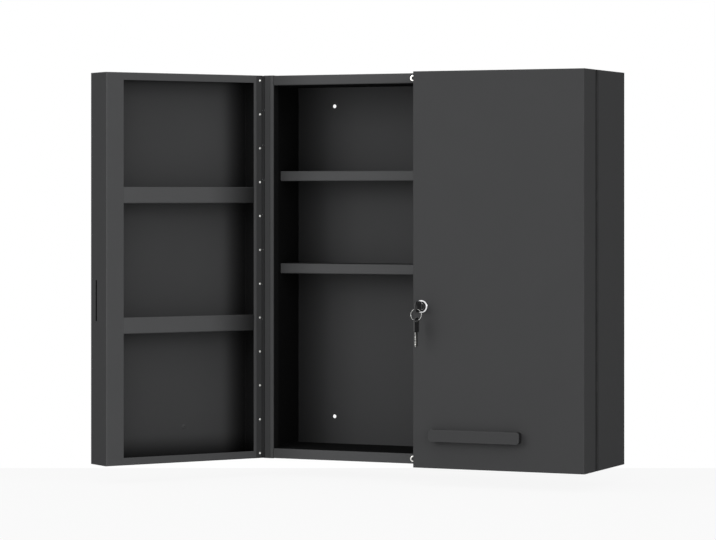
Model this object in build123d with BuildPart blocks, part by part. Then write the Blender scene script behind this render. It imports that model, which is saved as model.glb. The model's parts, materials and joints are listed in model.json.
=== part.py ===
from build123d import *
import os
from math import radians, sqrt, tan

os.makedirs("parts", exist_ok=True)

# A two-door steel medicine cabinet that hangs on a wall. Millimetres, +X to the viewer's right,
# +Y to the wall, +Z up. The origin is on the wall, in the middle of the four fixing holes.

# Cabinet body
cabinet_width = 598.0
cabinet_height = 650.0
body_depth = 138.0
sheet = 1.0
bend_radius = 2.0
side_flange = 18.0
side_lip = 20.0
rail_height = 16.5
rail_inset = 0.5
rail_back_flange = 12.0
rail_seam = 0.6
fit_gap = 0.1

# Fixing holes in the back
wall_hole_radius = 3.25
wall_hole_from_side = 70.0
wall_hole_from_top = 49.4
wall_hole_from_foot = 63.6

# Body shelves
shelf_depth = 72.0
shelf_fascia = 17.0
shelf_hem = 8.0
shelf_side_flange = 12.0
shelf_back_flange = 10.0
shelf_heights = {"lower": 329.5, "upper": 488.0}

# Doors
door_depth = 57.0
door_gap = 3.0
door_split = 3.0
door_hinge_flange = 17.0
door_free_flange = 32.0
door_end_flange = 12.5
door_shelf_lip = 27.0
door_shelf_back_flange = 10.0
door_shelf_heights = {"lower": 217.3, "upper": 433.4}
left_door_open = 124.0

# Continuous hinges
hinge_end = 0.5
leaf_thickness = 1.0
leaf_width = 12.0
knuckle_radius = 2.0
knuckle_count = 11
knuckle_clearance = 0.15
knuckle_end_gap = 0.2
pin_radius = 1.1
pin_clearance = 0.05
rivet_count = 12
rivet_end = 8.7
rivet_inset = 5.6
rivet_radius = 1.2
rivet_head_radius = 2.0
rivet_head = 0.6
rivet_tail_radius = 1.8
rivet_tail = 0.8
rivet_clearance = 0.05

# Ring magnets
magnet_radius = 5.2
magnet_thickness = 2.6
magnet_offset = 22.5
magnet_screw_radius = 1.5
magnet_screw_head = 2.9
magnet_screw_length = 8.0
countersink = 82.0
screw_clearance = 0.15

# Pull handles
handle_length = 158.0
handle_width = 20.0
handle_thickness = 3.0
handle_edge = 1.0
handle_corner = 5.0
handle_stand_off = 11.5
handle_height = 54.6
handle_from_edge = 111.7
handle_foot = 25.0
handle_foot_inset = 0.5
handle_screw_spacing = 128.0
handle_screw_radius = 2.0
handle_screw_head_radius = 4.0
handle_screw_head = 1.6
handle_screw_bite = 2.0
handle_hole_clearance = 0.05

# Cam lock
lock_from_edge = 16.0
lock_height = 264.6
collar_radius = 10.8
collar_thickness = 3.6
collar_chamfer = 1.0
collar_recess = 0.8
barrel_radius = 9.0
barrel_flat = 8.0
barrel_clearance = 0.1
nut_radius = 12.0
nut_thickness = 4.5
plug_radius = 6.0
plug_clearance = 0.05
cam_behind_front = 20.5
cam_thickness = 2.5
cam_reach = 36.0
cam_width = 12.0
cam_square = 6.0
cam_square_clearance = 0.1
cam_play = 0.3
cam_screw_radius = 1.9
cam_screw_head_radius = 4.5
cam_screw_head = 2.0
cam_screw_length = 3.2
cam_screw_clearance = 0.05
slot_width = 5.0
slot_above = 41.5
slot_below = 26.5

# Keys and their ring
blade_width = 8.0
blade_thickness = 2.0
blade_length = 24.0
blade_tang = 7.0
blade_shoulder = 3.0
blade_tip = 2.0
bitting_depths = (1.2, 0.7, 1.5, 1.0)
bitting_pitch = 4.0
bitting_start = 6.0
keyway_clearance = 0.2
bow_length = 24.0
bow_width = 18.0
bow_thickness = 3.4
bow_corner = 7.0
bow_slot_length = 9.6
bow_slot_width = 4.0
bow_slot_inset = 5.8
bow_edge = 0.6
ring_radius = 9.4
ring_wire = 0.6
ring_turn_offset = 0.54
ring_play = 0.7

# Places worked out from the sizes above
half_width = cabinet_width / 2
wall_hole_spacing_x = cabinet_width - 2 * wall_hole_from_side
wall_hole_spacing_z = cabinet_height - wall_hole_from_top - wall_hole_from_foot
base = -(wall_hole_from_foot + wall_hole_spacing_z / 2)
door_width = half_width - door_split / 2
door_rim = body_depth + door_gap
bend_reach = bend_radius + knuckle_radius + knuckle_clearance
hinge_out = sqrt(bend_reach**2 - (bend_radius + door_gap / 2) ** 2) - bend_radius
hinge_length = cabinet_height - 2 * hinge_end
knuckle_length = hinge_length / knuckle_count
rivet_pitch = (cabinet_height - 2 * rivet_end) / (rivet_count - 1)
rivet_heights = [rivet_end + number * rivet_pitch for number in range(rivet_count)]
ceiling = cabinet_height - rail_inset - rail_height
cabinet_floor = rail_inset + rail_height
inner_half_width = half_width - sheet - fit_gap

# Views to sketch on: from the front, with heights counted from the underside, and from the side
front = Plane(origin=(0, 0, base), x_dir=(1, 0, 0), z_dir=(0, -1, 0))
side_view = Plane(origin=(0, 0, base), x_dir=(0, -1, 0), z_dir=(-1, 0, 0))
under = Plane.XY.offset(base)


def finish(piece, name):
    """Name a piece and write it."""
    piece.part.label = name
    export_step(piece.part, f"parts/{name}.step")


def folded(corners, side):
    """The section of a bent sheet, from the line of its outer faces."""
    with BuildSketch() as section:
        with BuildLine():
            FilletPolyline(*corners, radius=bend_radius)
            offset(amount=sheet, side=side)
        make_face()
    return section.sketch


def block(plane, left, right, bottom, top, depth, radius):
    """A box from a plane, with its front and back edges rounded."""
    with BuildPart() as solid:
        with BuildSketch(plane):
            with Locations(((left + right) / 2, (bottom + top) / 2)):
                Rectangle(right - left, top - bottom)
        extrude(amount=depth)
        ends = solid.faces().sort_by(Axis(plane.origin, plane.z_dir))
        fillet(ends[0].edges() + ends[-1].edges(), radius)
    return solid.part


def build_side_panel(name, side):
    """A side wall with its front flange and the lip behind it."""
    lip_x = side * (half_width - side_flange)
    wall_x = side * half_width
    with BuildPart() as panel:
        with BuildSketch(under):
            add(
                folded(
                    [(lip_x, -body_depth + side_lip), (lip_x, -body_depth), (wall_x, -body_depth), (wall_x, 0)],
                    Side.RIGHT if side < 0 else Side.LEFT,
                )
            )
        extrude(amount=cabinet_height)
    finish(panel, f"{name}_side_panel")


def build_rail_panel(name, web, rail_end, side):
    """The top or bottom: a web with a flange at the front and one at the back."""
    back_end = web + (rail_end - web) / rail_height * rail_back_flange
    with BuildPart() as panel:
        with BuildSketch(side_view):
            add(folded([(body_depth, rail_end), (body_depth, web), (sheet, web), (sheet, back_end)], side))
        extrude(amount=inner_half_width, both=True)
        with BuildSketch(Plane.XY.offset(base + min(web, rail_end))):
            notch = inner_half_width - (half_width - side_flange - rail_seam)
            for x in (-1, 1):
                with Locations((x * (inner_half_width - notch / 2), -body_depth + (side_lip + fit_gap) / 2)):
                    Rectangle(notch, side_lip + fit_gap)
        extrude(amount=rail_height, mode=Mode.SUBTRACT)
        with BuildSketch(front.offset(body_depth)):
            with Locations([(x * magnet_offset, (web + rail_end) / 2) for x in (-1, 1)]):
                Circle(magnet_screw_radius + screw_clearance)
        extrude(amount=-2 * sheet, mode=Mode.SUBTRACT)
    finish(panel, f"{name}_panel")


build_side_panel("left", -1)
build_side_panel("right", 1)
build_rail_panel("top", ceiling, cabinet_height - rail_inset, Side.RIGHT)
build_rail_panel("bottom", cabinet_floor, rail_inset, Side.LEFT)

with BuildPart() as back_panel:
    with BuildSketch(front):
        with Locations((0, cabinet_height / 2)):
            Rectangle(2 * inner_half_width, cabinet_height)
        with Locations((0, -base)):
            with GridLocations(wall_hole_spacing_x, wall_hole_spacing_z, 2, 2):
                Circle(wall_hole_radius, mode=Mode.SUBTRACT)
    extrude(amount=sheet)
finish(back_panel, "back_panel")


def build_shelf(name, height):
    """A body shelf with a hemmed fascia and flanges to the sides and the back."""
    shelf_back = sheet + fit_gap
    shelf_front = shelf_back + shelf_depth
    fascia_foot = height - shelf_fascia
    with BuildPart() as shelf:
        with BuildSketch(side_view):
            add(
                folded(
                    [
                        (shelf_front - shelf_hem, fascia_foot),
                        (shelf_front, fascia_foot),
                        (shelf_front, height),
                        (shelf_back, height),
                        (shelf_back, height - shelf_back_flange),
                    ],
                    Side.LEFT,
                )
            )
        extrude(amount=inner_half_width, both=True)
        with BuildSketch(front.offset(shelf_back + bend_radius)):
            flange_middle = height - sheet / 2 - shelf_side_flange / 2
            for x in (-1, 1):
                with Locations((x * (inner_half_width - sheet / 2), flange_middle)):
                    Rectangle(sheet, shelf_side_flange)
        extrude(amount=shelf_depth - 2 * bend_radius)
    finish(shelf, f"{name}_shelf")


for shelf_name, shelf_height in shelf_heights.items():
    build_shelf(shelf_name, shelf_height)


def hinge_leaf(axis_plane, side, toward, first):
    """A hinge leaf: a plate with every second knuckle, the first one at the foot or one higher."""
    plate = hinge_out + leaf_width
    with BuildPart() as leaf:
        with BuildSketch(axis_plane.offset(hinge_end)):
            Circle(knuckle_radius)
            with Locations((side * plate / 2, toward * (door_gap - leaf_thickness) / 2)):
                Rectangle(plate, leaf_thickness)
        extrude(amount=hinge_length)
        for number in range(1 - first, knuckle_count, 2):
            with BuildSketch(axis_plane.offset(hinge_end + number * knuckle_length - knuckle_end_gap / 2)):
                Circle(knuckle_radius + knuckle_clearance)
            extrude(amount=knuckle_length + knuckle_end_gap, mode=Mode.SUBTRACT)
        with BuildSketch(axis_plane.offset(hinge_end)):
            Circle(pin_radius + pin_clearance)
        extrude(amount=hinge_length, mode=Mode.SUBTRACT)
    return leaf.part


def build_body_hinge(name, side):
    """The fixed leaf and the pin of one hinge."""
    axis_plane = Plane(origin=(side * (half_width + hinge_out), -body_depth - door_gap / 2, base))
    with BuildPart() as leaf:
        add(hinge_leaf(axis_plane, -side, 1, 0))
    finish(leaf, f"{name}_hinge_body_leaf")
    with BuildPart() as pin:
        with BuildSketch(axis_plane.offset(hinge_end)):
            Circle(pin_radius)
        extrude(amount=hinge_length)
    finish(pin, f"{name}_hinge_pin")


build_body_hinge("left", -1)
build_body_hinge("right", 1)

# Magnets that hold the doors shut, with the screws that fix them to the rails
magnet_face = front.offset(body_depth + magnet_thickness)
screw_cone = (magnet_screw_head - magnet_screw_radius) / tan(radians(countersink / 2))


def build_magnets(name, side):
    """One door's two ring magnets and their countersunk screws."""
    places = [(side * magnet_offset, (cabinet_floor + rail_inset) / 2)]
    places.append((side * magnet_offset, (ceiling + cabinet_height - rail_inset) / 2))
    with BuildPart() as magnets:
        with BuildSketch(front.offset(body_depth)):
            with Locations(places):
                Circle(magnet_radius)
        extrude(amount=magnet_thickness)
        with Locations([magnet_face * Location(place) for place in places]):
            CounterSinkHole(
                magnet_screw_radius + screw_clearance, magnet_screw_head + screw_clearance, None, countersink
            )
    finish(magnets, f"{name}_door_magnets")

    with BuildPart() as screws:
        with BuildSketch(magnet_face):
            with Locations(places):
                Circle(magnet_screw_head)
        extrude(amount=-screw_cone, taper=countersink / 2)
        with BuildSketch(magnet_face):
            with Locations(places):
                Circle(magnet_screw_radius)
        extrude(amount=-magnet_screw_length)
    finish(screws, f"{name}_magnet_screws")


build_magnets("left", -1)
build_magnets("right", 1)


def door_plane(side, angle):
    """The plane of a door's rim: x along the cabinet, y up, facing the door's front."""
    pivot = Location((side * (half_width + hinge_out), -body_depth - door_gap / 2, 0))
    shut = Plane(origin=(side * half_width, -door_rim, base), x_dir=(1, 0, 0), z_dir=(0, -1, 0))
    return Plane(pivot * Location((0, 0, 0), (0, 0, side * angle)) * pivot.inverse() * shut.location)


def across(rim, side, along):
    """The plane that cuts a door at a distance from its hinge edge: x to the front, y up."""
    return Plane(origin=rim.origin, x_dir=rim.z_dir, z_dir=-rim.x_dir).offset(-side * along)


def build_door_pan(name, rim, side, has_lock):
    """A door: a shallow tray folded from one sheet, with a flange all round its rim."""
    far = side * door_width
    left, right = sorted((0, far))
    depth_inside = door_depth - 2 * sheet
    handle_x = side * (door_width - handle_from_edge)
    window = [side * door_hinge_flange, side * (door_width - door_free_flange)]
    with BuildPart() as pan:
        add(block(rim, left, right, 0, cabinet_height, door_depth, bend_radius))
        add(
            block(
                rim.offset(sheet),
                left + sheet,
                right - sheet,
                sheet,
                cabinet_height - sheet,
                depth_inside,
                bend_radius - sheet,
            ),
            mode=Mode.SUBTRACT,
        )
        with BuildSketch(rim):
            with Locations((sum(window) / 2, cabinet_height / 2)):
                Rectangle(abs(window[1] - window[0]), cabinet_height - 2 * door_end_flange)
            with Locations([(side * rivet_inset, z) for z in rivet_heights]):
                Circle(rivet_radius + rivet_clearance)
        extrude(amount=sheet, mode=Mode.SUBTRACT)
        with BuildSketch(across(rim, side, door_width)):
            with Locations((door_depth - cam_behind_front, lock_height + (slot_above - slot_below) / 2)):
                Rectangle(slot_width, slot_above + slot_below)
        extrude(amount=side * 2 * sheet, mode=Mode.SUBTRACT)
        with BuildSketch(rim.offset(door_depth)):
            with Locations((handle_x, handle_height)):
                with GridLocations(handle_screw_spacing, 0, 2, 1):
                    Circle(handle_screw_radius + screw_clearance)
            if has_lock:
                add(barrel_outline(side, barrel_clearance))
        extrude(amount=-sheet, mode=Mode.SUBTRACT)
    finish(pan, f"{name}_door_pan")


def barrel_outline(side, clearance):
    """The lock barrel's round outline with its two flats."""
    with BuildSketch() as outline:
        with Locations((side * (door_width - lock_from_edge), lock_height)):
            Circle(barrel_radius + clearance)
            Rectangle(2 * (barrel_radius + clearance), 2 * (barrel_flat + clearance), mode=Mode.INTERSECT)
    return outline.sketch


def build_door_shelf(name, rim, side, height):
    """A door shelf: a plate between the side walls, with a lip in the rim and a flange at the front skin."""
    shelf_back = door_depth - sheet - fit_gap
    lip_from = door_hinge_flange + fit_gap
    lip_to = door_width - door_free_flange - fit_gap
    plate_from = sheet + fit_gap
    plate_to = door_width - sheet - fit_gap
    with BuildPart() as shelf:
        with BuildSketch(across(rim, side, lip_from)):
            add(
                folded(
                    [
                        (0, height + door_shelf_lip),
                        (0, height),
                        (shelf_back, height),
                        (shelf_back, height + door_shelf_back_flange),
                    ],
                    Side.LEFT,
                )
            )
        extrude(amount=-side * (lip_to - lip_from))
        with BuildSketch(across(rim, side, plate_from)):
            with Locations(((plate_from + shelf_back) / 2, height + sheet / 2)):
                Rectangle(shelf_back - plate_from - bend_radius, sheet)
        extrude(amount=-side * (plate_to - plate_from))
    finish(shelf, name)


def build_door_hinge(name, rim, side):
    """The moving leaf of a hinge and the rivets that hold it to the door's flange."""
    axis = rim.from_local_coords(Vector(-side * hinge_out, 0, -door_gap / 2))
    rivets_at = [(side * rivet_inset, z) for z in rivet_heights]
    with BuildPart() as leaf:
        add(hinge_leaf(Plane(origin=axis, x_dir=rim.x_dir, z_dir=rim.y_dir), side, -1, 1))
        with BuildSketch(rim):
            with Locations(rivets_at):
                Circle(rivet_radius + rivet_clearance)
        extrude(amount=-leaf_thickness, mode=Mode.SUBTRACT)
    finish(leaf, f"{name}_hinge_door_leaf")

    with BuildPart() as rivets:
        for radius, start, length in (
            (rivet_head_radius, -leaf_thickness, -rivet_head),
            (rivet_radius, -leaf_thickness, leaf_thickness + sheet),
            (rivet_tail_radius, sheet, rivet_tail),
        ):
            with BuildSketch(rim.offset(start)):
                with Locations(rivets_at):
                    Circle(radius)
            extrude(amount=length)
    finish(rivets, f"{name}_hinge_rivets")


def build_handle(name, rim, side):
    """A flat pull bar with rounded corners on two feet, screwed on from inside the door."""
    middle = Vector(side * (door_width - handle_from_edge), handle_height)
    face = Plane(origin=rim.from_local_coords(middle), x_dir=rim.x_dir, z_dir=rim.z_dir).offset(door_depth)
    with BuildPart() as bar:
        with BuildSketch(face.offset(handle_stand_off)):
            RectangleRounded(handle_length, handle_width, handle_corner)
        extrude(amount=handle_thickness)
        fillet(bar.faces().sort_by(Axis(face.origin, face.z_dir))[-1].edges(), handle_edge)
        with BuildSketch(face.offset(handle_stand_off)):
            with GridLocations(handle_screw_spacing, 0, 2, 1):
                Circle(handle_screw_radius + handle_hole_clearance)
        extrude(amount=handle_screw_bite, mode=Mode.SUBTRACT)
    finish(bar, f"{name}_handle_bar")

    with BuildPart() as feet:
        with BuildSketch(face):
            RectangleRounded(
                handle_length - 2 * handle_foot_inset,
                handle_width - 2 * handle_foot_inset,
                handle_corner - handle_foot_inset,
            )
            Rectangle(handle_length - 2 * handle_foot, handle_width, mode=Mode.SUBTRACT)
            with GridLocations(handle_screw_spacing, 0, 2, 1):
                Circle(handle_screw_radius + screw_clearance, mode=Mode.SUBTRACT)
        extrude(amount=handle_stand_off)
    finish(feet, f"{name}_handle_feet")

    with BuildPart() as screws:
        with BuildSketch(face.offset(-sheet)):
            with GridLocations(handle_screw_spacing, 0, 2, 1):
                Circle(handle_screw_head_radius)
        extrude(amount=-handle_screw_head)
        with BuildSketch(face.offset(-sheet)):
            with GridLocations(handle_screw_spacing, 0, 2, 1):
                Circle(handle_screw_radius)
        extrude(amount=sheet + handle_stand_off + handle_screw_bite)
    finish(screws, f"{name}_handle_screws")


def build_door(name, side, angle):
    """One whole door; the right one has the lock."""
    rim = door_plane(side, angle)
    inward = -side
    build_door_pan(name, rim, inward, side > 0)
    for shelf_name, shelf_height in door_shelf_heights.items():
        build_door_shelf(f"{name}_door_{shelf_name}_shelf", rim, inward, shelf_height)
    build_door_hinge(name, rim, inward)
    build_handle(name, rim, inward)


build_door("left", -1, left_door_open)
build_door("right", 1, 0)

# The cam lock in the right door, on a plane at the door's face
lock_x = door_split / 2 + lock_from_edge
lock_face = Plane(
    origin=(lock_x, -door_rim - door_depth, base + lock_height), x_dir=(1, 0, 0), z_dir=(0, -1, 0)
)
cam_front = -cam_behind_front + cam_thickness / 2
plug_face = collar_thickness - collar_recess

with BuildPart() as lock_housing:
    with BuildSketch(lock_face):
        Circle(collar_radius)
    extrude(amount=collar_thickness)
    chamfer(lock_housing.faces().sort_by(Axis.Y)[0].edges(), collar_chamfer)
    with BuildSketch(lock_face):
        Circle(barrel_radius)
        Rectangle(2 * barrel_radius, 2 * barrel_flat, mode=Mode.INTERSECT)
    extrude(amount=cam_front + cam_play)
    with BuildSketch(lock_face.offset(collar_thickness)):
        Circle(plug_radius + plug_clearance)
    extrude(amount=-collar_thickness + cam_front + cam_play, mode=Mode.SUBTRACT)
finish(lock_housing, "lock_housing")

with BuildPart() as lock_nut:
    with BuildSketch(lock_face.offset(-sheet)):
        RegularPolygon(nut_radius, 6, major_radius=False)
        Circle(barrel_radius + barrel_clearance, mode=Mode.SUBTRACT)
    extrude(amount=-nut_thickness)
finish(lock_nut, "lock_nut")

with BuildPart() as lock_plug:
    with BuildSketch(lock_face.offset(cam_front)):
        Circle(plug_radius)
    extrude(amount=plug_face - cam_front)
    with BuildSketch(lock_face.offset(cam_front)):
        Rectangle(cam_square, cam_square)
    extrude(amount=-cam_thickness)
    with BuildSketch(lock_face.offset(cam_front - cam_thickness)):
        Circle(cam_screw_radius + cam_screw_clearance)
    extrude(amount=cam_screw_length + screw_clearance, mode=Mode.SUBTRACT)
    with BuildSketch(lock_face.offset(plug_face)):
        Rectangle(blade_thickness + keyway_clearance, blade_width + keyway_clearance)
    extrude(amount=-(blade_length - blade_shoulder + keyway_clearance), mode=Mode.SUBTRACT)
finish(lock_plug, "lock_plug")

with BuildPart() as lock_cam:
    with BuildSketch(lock_face.offset(cam_front)):
        Circle(cam_width / 2)
        with Locations((0, cam_reach / 2)):
            Rectangle(cam_width, cam_reach)
        with Locations((0, cam_reach)):
            Circle(cam_width / 2)
        Rectangle(
            cam_square + 2 * cam_square_clearance, cam_square + 2 * cam_square_clearance, mode=Mode.SUBTRACT
        )
    extrude(amount=-cam_thickness)
finish(lock_cam, "lock_cam")

with BuildPart() as cam_screw:
    with BuildSketch(lock_face.offset(cam_front - cam_thickness)):
        Circle(cam_screw_head_radius)
    extrude(amount=-cam_screw_head)
    with BuildSketch(lock_face.offset(cam_front - cam_thickness)):
        Circle(cam_screw_radius)
    extrude(amount=cam_screw_length)
finish(cam_screw, "cam_screw")


def build_key(name, bow_end):
    """A key whose bow starts at a plane: x along the key to the bow's end, y across it."""
    with BuildPart() as blade:
        with BuildSketch(bow_end):
            with Locations(((blade_tang - blade_length) / 2, 0)):
                tang_and_blade = Rectangle(blade_length + blade_tang, blade_width)
            chamfer(tang_and_blade.vertices().group_by(Axis.X)[0], blade_tip)
            for number, depth in enumerate(bitting_depths):
                with Locations((-bitting_start - number * bitting_pitch, -blade_width / 2)):
                    Rectangle(depth * sqrt(2), depth * sqrt(2), rotation=45, mode=Mode.SUBTRACT)
        extrude(amount=blade_thickness / 2, both=True)
    finish(blade, f"{name}_blade")

    with BuildPart() as bow:
        with BuildSketch(bow_end):
            with Locations((bow_length / 2, 0)):
                RectangleRounded(bow_length, bow_width, bow_corner)
        extrude(amount=bow_thickness / 2, both=True)
        outer_faces = bow.faces().sort_by(Axis(bow_end.origin, bow_end.z_dir))
        chamfer(outer_faces[0].edges() + outer_faces[-1].edges(), bow_edge)
        with BuildSketch(bow_end):
            with Locations((bow_length - bow_slot_inset, 0)):
                SlotOverall(bow_slot_length, bow_slot_width, rotation=90)
        extrude(amount=bow_thickness, both=True, mode=Mode.SUBTRACT)
        with BuildSketch(bow_end):
            with Locations((blade_tang / 2, 0)):
                Rectangle(blade_tang, blade_width)
        extrude(amount=blade_thickness / 2, both=True, mode=Mode.SUBTRACT)
    finish(bow, f"{name}_bow")


# The key stands in the plug with its bow upright; the ring runs through the bow's slot
key_start = lock_face.offset(plug_face + blade_shoulder).origin
slot_from_face = plug_face + blade_shoulder + bow_length - bow_slot_inset
ring_top = -(bow_slot_length / 2 - ring_wire - ring_play)
ring_plane = Plane(
    origin=lock_face.from_local_coords(Vector(0, ring_top - ring_radius, slot_from_face)),
    x_dir=(1, 0, 0),
    z_dir=(0, -1, 0),
)
build_key("key", Plane(origin=key_start, x_dir=(0, -1, 0), z_dir=(-1, 0, 0)))

with BuildPart() as key_ring:
    with BuildSketch(Plane(origin=ring_plane.origin, x_dir=(1, 0, 0), z_dir=(0, 0, 1))):
        with Locations([(ring_radius, turn * ring_turn_offset) for turn in (-1, 1)]):
            Circle(ring_wire)
    revolve(axis=Axis(ring_plane.origin, ring_plane.z_dir))
finish(key_ring, "key_ring")

# The spare key hangs in the ring by its slot
spare_slot = ring_plane.from_local_coords(Vector(0, -ring_radius + ring_wire + ring_play - bow_slot_width / 2, 0))
spare_end = spare_slot - Vector(0, 0, bow_length - bow_slot_inset)
build_key("spare_key", Plane(origin=spare_end, x_dir=(0, 0, 1), z_dir=(-1, 0, 0)))
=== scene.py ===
import json
import math
from typing import NamedTuple

import bpy
from mathutils import Matrix, Vector


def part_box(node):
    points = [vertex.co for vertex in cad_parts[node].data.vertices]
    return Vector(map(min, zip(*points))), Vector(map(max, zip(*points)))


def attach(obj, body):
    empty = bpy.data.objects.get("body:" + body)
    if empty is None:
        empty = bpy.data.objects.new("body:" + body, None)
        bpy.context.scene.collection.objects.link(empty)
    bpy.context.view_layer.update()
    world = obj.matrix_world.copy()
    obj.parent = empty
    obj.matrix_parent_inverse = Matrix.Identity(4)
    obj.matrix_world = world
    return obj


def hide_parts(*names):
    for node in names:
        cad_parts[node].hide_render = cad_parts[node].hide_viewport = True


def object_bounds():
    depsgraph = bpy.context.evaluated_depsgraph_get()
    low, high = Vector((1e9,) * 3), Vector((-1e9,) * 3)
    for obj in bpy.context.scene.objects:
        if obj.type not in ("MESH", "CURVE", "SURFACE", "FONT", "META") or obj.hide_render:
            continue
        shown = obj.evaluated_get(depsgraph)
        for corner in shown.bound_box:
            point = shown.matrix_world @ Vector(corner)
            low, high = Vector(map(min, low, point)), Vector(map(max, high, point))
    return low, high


bl_info = {
    "name": "Medicine cabinet",
    "version": (1, 0, 0),
    "blender": (4, 5, 0),
    "location": "View3D > Sidebar > Cabinet",
    "description": "Finishes, small fittings and a studio for a two-door steel medicine cabinet",
    "category": "Object",
}

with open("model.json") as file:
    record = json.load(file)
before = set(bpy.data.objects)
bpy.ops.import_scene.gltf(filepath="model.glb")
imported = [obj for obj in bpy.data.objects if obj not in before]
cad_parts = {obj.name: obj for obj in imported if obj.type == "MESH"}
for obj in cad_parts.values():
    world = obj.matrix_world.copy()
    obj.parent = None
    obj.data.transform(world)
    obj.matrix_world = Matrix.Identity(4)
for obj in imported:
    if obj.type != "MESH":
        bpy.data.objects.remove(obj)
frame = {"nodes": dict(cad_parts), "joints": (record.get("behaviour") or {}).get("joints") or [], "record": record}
BODIES = frame["record"]["behaviour"]["bodies"]
JOINTS = {joint["name"]: joint for joint in frame["joints"]}
CAD_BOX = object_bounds()
MM = 0.001

# The doors as they stand in the frame: the left one is stored open, the right one shut
LEFT_OPEN = math.radians(JOINTS["left_door_swing"]["range_deg"][1])
DOOR_OPEN = {"left": -LEFT_OPEN, "right": 0.0}
BODY_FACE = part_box("left_side_panel")[0].y
DOOR_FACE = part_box("right_door_pan")[0].y
DOOR_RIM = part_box("right_door_pan")[1].y
LOCK_CENTRE = Vector(JOINTS["lock_turn"]["pos_m"])
RING_TOP = Vector(JOINTS["key_ring_swing"]["pos_m"])
RING_FOOT = Vector(JOINTS["spare_key_swing"]["pos_m"])

# The folded sheets: their thickness, the outer radius of their bends, how far in from the outer edges
# the coat is worn lighter, which also paints a highlight along them, and how far the top and bottom
# panels are set in from their flanges' edges
SHEET = 0.001
BEND = 0.002
EDGE_WEAR_AND_HIGHLIGHT = 0.0022
SET_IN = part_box("top_panel")[1].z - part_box("top_panel")[0].z - SHEET

# Where the painted light and shade change: from a door's lighter front to its darker sides, from a
# side to the painted shadow strip along its hinge, and from a hinge's leaf to its knuckles painted in
# shade, by the distance from its axis
FRONT_LIGHT_TO_SIDE_SHADE = (0.0003, 0.0015)
HINGE_SHADOW_STRIP = (0.011, 0.007)
KNUCKLE_SHADE = (0.0036, 0.0026)


class PaintedFlangeShading(NamedTuple):
    """How much light is painted along a flange, as a factor on the coat's colour: in its middle, at one
    end (-1 low x, 1 high x, 0 both), and the length over which it changes."""

    middle: float
    end: float = 0.0
    side: int = 0
    fade: float = 0.0


class PaintedSheetShading(NamedTuple):
    """How light and shade are painted on a piece of sheet, as factors on the coat's colour: the factor
    painted inside (above 1 lighter, below 1 darker), the side of the opening (front -1, back 1), the
    outer faces as (axis, sign, reach of the painted corner shade behind them, its share), and the
    painted light on the flange."""

    inside: float = 1.0
    opening: int = 1
    outer_faces: tuple = ()
    flange: PaintedFlangeShading = None


def panel(axis, sign, flange):
    """A panel of the cabinet, open to the front, with painted shade on the inside of its outer face and painted
    light on its flange.
    """
    return PaintedSheetShading(1.0, -1, ((axis, sign, 0.2, 1.0),), flange)


def door_pan(hinge):
    """A door's tray, open to the back, with the hinge on its low-x (-1) or high-x (1) side; light is painted on
    its inside and flange, and shade in the corners behind its walls, deepest by the hinge and at the bottom.
    """
    ends = (2, -1, 0.047, 1.0), (2, 1, 0.02, 1.0)
    return PaintedSheetShading(1.22, 1, ((0, hinge, 0.057, 1.0), (0, -hinge, 0.03, 1.0), *ends), PaintedFlangeShading(1.05))


# Painted light and shade for each sheet-metal piece, as factors on the coat's colour: the top and bottom panels'
# flanges painted darker towards the low-x end, and the back panel painted lighter, with painted shade by its sides
PAINTED_SHEET_SHADING = {
    "left_side_panel": panel(0, -1, PaintedFlangeShading(0.97)),
    "right_side_panel": panel(0, 1, PaintedFlangeShading(0.97)),
    "top_panel": panel(2, 1, PaintedFlangeShading(1.03, 0.72, -1, 0.11)),
    "bottom_panel": panel(2, -1, PaintedFlangeShading(1.20, 0.88, -1, 0.11)),
    "back_panel": PaintedSheetShading(1.35, -1, ((0, -1, 0.07, 0.6), (0, 1, 0.07, 0.6))),
}
# The shelves' fascias painted lighter, most at their ends
for height in ("upper", "lower"):
    PAINTED_SHEET_SHADING[f"{height}_shelf"] = PaintedSheetShading(opening=-1, flange=PaintedFlangeShading(1.29, 2.0, 0, 0.06))
# The door pans; the door shelves' lips painted darker towards the hinge; the pull bars and their screws painted
# lighter, the hinge leaves and pins darker
for side, hinge in (("left", -1), ("right", 1)):
    PAINTED_SHEET_SHADING[f"{side}_door_pan"] = door_pan(hinge)
    for height in ("upper", "lower"):
        PAINTED_SHEET_SHADING[f"{side}_door_{height}_shelf"] = PaintedSheetShading(flange=PaintedFlangeShading(1.15, 0.15, hinge, 0.11))
    PAINTED_SHEET_SHADING[f"{side}_handle_bar"] = PaintedSheetShading(1.12)
    PAINTED_SHEET_SHADING[f"{side}_handle_screws"] = PaintedSheetShading(1.55)
    PAINTED_SHEET_SHADING[f"{side}_hinge_door_leaf"] = PaintedSheetShading(0.88)
    PAINTED_SHEET_SHADING[f"{side}_hinge_pin"] = PaintedSheetShading(0.60)


def metres(name, description, default):
    """A setting in metres."""
    return bpy.props.FloatProperty(
        name=name, description=description, default=default, subtype="DISTANCE", unit="LENGTH"
    )


def degrees(name, description, default):
    """A setting for an angle, given in degrees."""
    turn = math.radians(default)
    return bpy.props.FloatProperty(
        name=name, description=description, default=turn, subtype="ANGLE", unit="ROTATION"
    )


def rgb(name, description, default):
    """A setting for a colour."""
    return bpy.props.FloatVectorProperty(
        name=name, description=description, default=default, subtype="COLOR", min=0.0, max=1.0
    )


def level(name, description, default, most=1.0):
    """A setting for a strength or a share."""
    return bpy.props.FloatProperty(
        name=name, description=description, default=default, min=0.0, max=most
    )


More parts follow.
